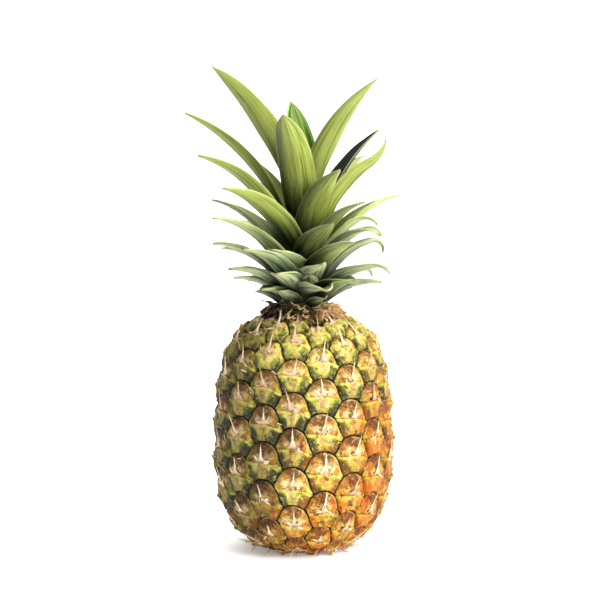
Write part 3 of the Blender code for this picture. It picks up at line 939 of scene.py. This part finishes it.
# Leaves that depart from the spiral's rule; shade paints a leaf darker in painted shade, and where negative paints it
# a lit bright green
ownLeaves = {
    -3: {"turn": 8, "lean": 5, "tip": 10, "width": 0.002, "roll": 0.3, "shade": 0.25},
    -2: {"turn": -8, "length": -0.010, "lean": -5, "width": 0.003, "roll": -0.4},
    -1: {"turn": -12, "length": -0.025, "lean": -20, "tip": -15, "blunt": 2.0, "shade": -1.0},
    0: {"turn": -4, "length": -0.018, "width": 0.001, "blunt": 1.2},
    1: {"length": -0.015, "lean": 10, "width": -0.006, "shade": 1.0},
    2: {"length": 0.007, "lean": 5, "tip": 5, "width": -0.004, "roll": 0.3},
    3: {"turn": -12, "length": -0.038, "blunt": 0.8},
    5: {"length": -0.017, "lean": 18, "tip": 17, "roll": 0.2},
    6: {"length": -0.006, "lean": -5, "width": 0.002, "roll": -0.4, "droop": -55},
    7: {"length": -0.015, "lean": -10, "tip": -10, "shade": 0.5},
    8: {"turn": 4, "length": -0.050, "lean": 24, "tip": -8, "sweep": 0.008, "blunt": 1.0},
    9: {"length": 0.010},
    10: {"length": 0.010, "lean": -10, "roll": 0.2},
    11: {"turn": -8, "length": -0.025, "lean": -10},
    13: {"length": -0.046, "lean": 30, "tip": -9, "sweep": -0.005, "blunt": 1.0},
    15: {"turn": -12, "shade": 0.4},
    16: {"length": -0.020, "lean": 20},
    19: {"length": -0.010, "lean": -20, "tip": -10, "droop": 70},
    21: {"turn": 8, "length": -0.030, "lean": 27, "tip": -10, "sweep": 0.007, "blunt": 0.8},
    23: {"length": -0.010},
    24: {"length": 0.005, "lean": -15, "droop": 40},
    27: {"lean": -15, "droop": 95},
    29: {"turn": -8, "length": -0.018, "lean": 28, "tip": 3, "sweep": 0.006, "width": 0.003, "blunt": 1.2},
    31: {"length": -0.010},
    32: {"droop": 50},
    34: {"length": -0.010, "lean": 4, "tip": -16, "sweep": -0.005, "width": 0.003, "blunt": 1.6},
    35: {"droop": 60},
    36: {"length": -0.010},
    37: {"shade": -0.7},
    39: {"length": -0.015},
}


def stemRadius(height):
    part = (height - crownStem["foot"]) / (crownStem["tip"] - crownStem["foot"])
    return mix(crownStem["radius"], crownStem["tipRadius"], part)


def leafShape(index):
    rule = crownSpiral
    height = rule["foot"] + rule["rise"] * exp(-index / rule["riseFade"])
    lean, leanMore, leanSpan, leanPower = rule["lean"]
    tip, tipMore, tipSpan = rule["tip"]
    shape = {
        "turn": rule["start"] + rule["turn"] * index,
        "height": height,
        "root": stemRadius(height) - rule["root"],
        "length": rule["length"] - rule["lengthStep"] * index,
        "lean": lean + leanMore * (max(index, 0) / leanSpan) ** leanPower,
        "tip": tip + tipMore * (1 - exp(-index / tipSpan)),
        "width": rule["width"] - rule["widthStep"] * index,
    }
    for key, change in ownLeaves.get(index, {}).items():
        shape[key] = shape.get(key, 0) + change
    return shape


# The young leaves at the heart and the last small ones, pressed down round the neck:
# each value of the first leaf, and what it changes by from one leaf to the next
heartLeaves = {
    "height": (0.206, 0.0),
    "root": (0.005, -0.001),
    "length": (0.046, -0.006),
    "lean": (6, 0),
    "tip": (24, -4),
    "width": (0.017, -0.002),
}
footLeaves = {
    "height": (0.1570, -0.0004),
    "root": (0.0125, 0.0),
    "length": (0.030, -0.0010),
    "lean": (35, 2.6),
    "tip": (60, 2.6),
    "blunt": (1.0, 0.0),
    "width": (0.0180, -0.0004),
    # painted shade on these small foot leaves
    "shade": (0.35, 0.0),
}
leafCounts = {"heart": 4, "foot": 9}


def smallShape(rules, order, index):
    shape = {key: first + step * order for key, (first, step) in rules.items()}
    shape["turn"] = crownSpiral["start"] + crownSpiral["turn"] * index
    return shape


# Each leaf blade: its grid, and how it narrows, cups, bends and twists along its length
blade = {
    "rows": 34,
    "across": 10,
    "foot": (0.72, 0.28, 0.38),
    "point": (0.012, 2.6, 0.85),
    "cup": 0.98,
    "cupFade": (1.15, 0.3),
    "bend": 1.2,
    "droop": (0.8, 0.2),
    "twist": 0.25,
    "thick": 0.0009,
    "ripple": 0.0010,
}


def leafWidth(along, blunt):
    least, more, span = blade["foot"]
    narrow, power, roundness = blade["point"]
    foot = least + more * sin(min(along / span, 1) * pi / 2)
    return foot * max(narrow, 1 - along ** (power + blunt)) ** roundness


def addLeaf(bm, marks, shape, age, draw):
    rows = blade["rows"]
    made = bmesh.ops.create_grid(bm, x_segments=blade["across"], y_segments=rows, size=1.0)["verts"]
    turn = radians(shape["turn"])
    out = Vector((cos(turn), sin(turn), 0))
    side = Vector((-sin(turn), cos(turn), 0))
    reach, height, spine = shape["root"], shape["height"], []
    droop, (droopFrom, droopSpan) = shape.get("droop", 0.0), blade["droop"]
    for row in range(rows + 1):
        along = row / rows
        lean = radians(shape["lean"] + (shape["tip"] - shape["lean"]) * along ** blade["bend"]
                            + droop * max(0.0, along - droopFrom) / droopSpan)
        if row:
            reach += sin(lean) * shape["length"] / rows
            height += cos(lean) * shape["length"] / rows
        spine.append((reach, height, lean))
    seed, twist = draw.uniform(0, 50), draw.uniform(-blade["twist"], blade["twist"])
    cupFirst, cupLess = blade["cupFade"]
    spots = {}
    for vert in made:
        across, along = vert.co.x, (vert.co.y + 1) / 2
        spots[vert] = (across, along)
        reach, height, lean = spine[round(along * rows)]
        inward = out * -cos(lean) + Vector((0, 0, sin(lean)))
        half = shape["width"] / 2 * leafWidth(along, shape.get("blunt", 0.0))
        cup = blade["cup"] * (cupFirst - cupLess * along)
        angle = cup * across
        ripple = blade["ripple"] * noise.noise(Vector((across * 0.8, along * 5, seed))) * abs(across) * along
        roll = twist * along ** 2 + shape.get("roll", 0.0) * ease(0.05, 0.6, along)
        lateral = half * sin(angle) / cup
        depth = half * (1 - cos(angle)) / cup + ripple
        lateral += shape.get("sweep", 0.0) * along ** 2
        vert.co = (out * reach + Vector((0, 0, height))
                   + side * (lateral * cos(roll) - depth * sin(roll))
                   + inward * (depth * cos(roll) + lateral * sin(roll)))
    numbers = {"chance": draw.random(), "age": age, "shade": shape.get("shade", 0.0), "east": side.x}
    for face in {face for vert in made for face in vert.link_faces}:
        for key, number in numbers.items():
            face[marks[key]] = number
        for loop in face.loops:
            loop[marks["blade"]].uv = spots[loop.vert]


# The numbers kept on each leaf's faces, for its colours
leafMarks = {"chance": "leafChance", "age": "leafAge", "shade": "leafShade", "east": "leafEast"}


def makeLeaves(shapes, seed):
    draw = random.Random(seed)
    bm = bmesh.new()
    marks = {key: bm.faces.layers.float.new(name) for key, name in leafMarks.items()}
    marks["blade"] = bm.loops.layers.uv.new("blade")
    for shape, age in shapes:
        addLeaf(bm, marks, shape, age, draw)
    return thicken(bm, blade["thick"])


# Colours of the leaves, seen under the same light
leafTones = {
    "young": (62, 82, 12),
    "youngPale": (166, 176, 74),
    "old": (56, 76, 32),
    "oldPale": (176, 190, 150),
    # deep green, also used for painted shade
    "deepGreenAndShade": (12, 20, 6),
    # painted shade
    "nearBlackShade": (3, 7, 1),
    # painted light
    "litGreen": (38, 76, 14),
    "litGreenPale": (104, 142, 34),
    "edge": (206, 212, 150),
    "dry": (140, 122, 84),
}


def leafLook(name):
    look = Look(name, specular=0.18, tones=leafTones)
    ramp, blend, grain = look.ramp, look.blend, look.grain
    across, along = look.onPiece("blade")
    chance, age, shade, east = (look.number(name) for name in leafMarks.values())
    veins = grain(look.vector(across * 7 + chance * 40, along * 0.6, chance * 9), 5, 5, 0.7)
    patches = grain(look.vector(across * 2.2 + chance * 11, along * 1.1, chance * 7), 2.2, 3)
    lines = veins + (patches - 0.5) * 0.9
    green = blend(ramp(lines, 0.12, 0.80), "young", "youngPale")
    grey = blend(ramp(lines, 0.22, 0.76), "old", "oldPale")
    colour = blend(ramp(age + (chance - 0.5) * 0.25, 0.12, 0.6), green, grey)
    colour = blend((1 - ramp(abs(across), 0.0, 0.35)) * 0.3, colour, "deepGreenAndShade")
    colour = blend(ramp(patches, 0.50, 0.75) * 0.45, colour, "deepGreenAndShade")
    hairline = grain(look.vector(across * 16 + chance * 23, along * 0.8, chance * 5), 5, 2)
    colour = blend(ramp(hairline, 0.54, 0.66) * 0.22, colour, "edge")
    # painted shade: the half of each leaf that turns away from the lamp side is darker
    turned = ramp(0 - across * east + (patches - 0.5) * 0.5, -0.1, 0.75)
    colour = blend(turned * 0.78, colour, "deepGreenAndShade")
    # painted light: leaves with a negative shade turn a lit, bright green
    paintedLitGreen = blend(ramp(lines, 0.42, 0.6), "litGreen", "litGreenPale")
    colour = blend(ramp(0 - shade, 0.0, 1.0) * 0.9, colour, paintedLitGreen)
    # the bloom pales the outer half, and painted shade takes the foot nearly black
    bloom = ramp(along + (patches - 0.5) * 0.4, 0.45, 0.95) * ramp(lines, 0.35, 0.6)
    colour = blend(bloom * (0.12 + ramp(age, 0.1, 0.5) * 0.3), colour, "edge")
    foot = 1 - ramp(along + (patches - 0.5) * 0.35 - age * 0.22, 0.06, 0.48)
    colour = blend(foot * 0.93, colour, "deepGreenAndShade")
    # painted shade: leaves with a positive shade go nearly black
    colour = blend(ramp(shade, 0.0, 1.0) * 0.98, colour, "nearBlackShade")
    colour = blend(ramp(abs(across), 0.92, 0.99) * 0.25, colour, "edge")
    colour = blend(ramp(along + (veins - 0.5) * 0.1, 0.95, 0.99) * 0.9, colour, "dry")
    roughness = 0.40 + veins * 0.24 + ramp(shade, 0.0, 1.0) * 0.3
    ridges = veins * (1 - ramp(along, 0.45, 0.9))
    return look.finish(colour, roughness, ridges, depth=0.0007, strength=0.7)


def makeCrown():
    first, last = crownSpiral["first"], crownSpiral["last"]
    upper = [(smallShape(heartLeaves, order, first - 1 - order), 0.0) for order in range(leafCounts["heart"])]
    upper += [(leafShape(index), max(index, 0) / last) for index in range(first, 8)]
    middle = [(leafShape(index), index / last) for index in range(8, 23)]
    lower = [(leafShape(index), index / last) for index in range(23, last + 1)]
    lower += [(smallShape(footLeaves, order, last + 1 + order), 1.0) for order in range(leafCounts["foot"])]
    pieces = {"upperLeaves": upper, "middleLeaves": middle, "lowerLeaves": lower}
    for seed, (name, shapes) in enumerate(pieces.items()):
        showPiece(makeLeaves(shapes, seed), name, leafLook(name), "crown")


makeCrown()


def makeStem():
    foot, tip, rows = crownStem["foot"], crownStem["tip"], crownStem["rows"]
    heights = [mix(foot, tip, row / rows) for row in range(rows + 1)]
    wall = [(stemRadius(height), height) for height in heights]
    cap = [(crownStem["tipRadius"] * 0.5, tip + 0.002), (0, tip + 0.003)]
    bm = spinProfile([(0, foot)] + wall + cap, crownStem["steps"])
    for vert in bm.verts:
        radius = vert.co.xy.length
        if radius > 0.006 and foot + 0.001 < vert.co.z < tip - 0.001:
            turn = atan2(vert.co.y, vert.co.x)
            scar = abs(sin((vert.co.z - foot) * crownStem["scarRate"] + sin(turn * 8) * 0.8))
            vert.co.xy *= 1 - crownStem["scar"] * scar / radius
    return bm


def stemLook():
    look = Look("stemScars", specular=0.3)
    flat = look.node("ShaderNodeVectorMath", {"operation": "MULTIPLY"}, {0: look.place(), 1: (1, 1, 9)})
    rings = look.grain(flat, 60, 4, 0.6)
    colour = look.blend(look.ramp(rings, 0.4, 0.62), tone(44, 40, 18), tone(128, 124, 62))
    return look.finish(colour, 0.6, rings, depth=0.0006)


showPiece(makeStem(), "crownStem", stemLook(), "crown")


# The stub of the stalk in the cut base: a ring of rind round pale fibres
stalkEnd = {
    "radius": 0.0150,
    "depth": 0.0057,
    "rings": 22,
    "steps": 72,
    "rind": 0.0132,
    "fibre": 0.00045,
    "fibreScale": 420,
    "sunk": 0.0004,
}


def makeStalk():
    radius, depth = stalkEnd["radius"], stalkEnd["depth"]
    sawn = [(radius * step / stalkEnd["rings"], 0.0008) for step in range(stalkEnd["rings"])]
    side = [(radius, 0.0006), (radius, 0.0020), (radius - 0.0003, 0.0040), (radius - 0.0008, depth - 0.0002)]
    bm = spinProfile(sawn + side + [(0, depth - 0.0002)], stalkEnd["steps"])
    for vert in bm.verts:
        if vert.co.z < 0.0015:
            scale = stalkEnd["fibreScale"]
            rough = noise.fractal(Vector((vert.co.x * scale, vert.co.y * scale, 3)), 0.8, 2.1, 3)
            sunk = stalkEnd["sunk"] * ease(stalkEnd["rind"], stalkEnd["rind"] - 0.002, vert.co.xy.length)
            vert.co.z = max(0.0001, vert.co.z + stalkEnd["fibre"] * rough + sunk)
    return bm


def stalkLook():
    look = Look("cutStalk", specular=0.25)
    place = look.place()
    east, north, _ = look.split(place)
    away = look.node("ShaderNodeVectorMath", {"operation": "LENGTH"}, {0: look.vector(east, north)}, out=1)
    fibre = look.grain(place, 900, 3, 0.6)
    blot = look.grain(place, 120, 4, 0.6)
    colour = look.blend(look.ramp(fibre, 0.42, 0.6), tone(150, 112, 62), tone(222, 196, 140))
    colour = look.blend(look.ramp(blot, 0.5, 0.68) * 0.6, colour, tone(120, 84, 48))
    rind = look.ramp(away + (blot - 0.5) * 0.002, stalkEnd["rind"] - 0.0006, stalkEnd["rind"] + 0.0004)
    colour = look.blend(rind, colour, tone(96, 70, 36))
    return look.finish(colour, 0.75, fibre, depth=0.0005)


showPiece(makeStalk(), "stalkEnd", stalkLook(), "cut_stalk")
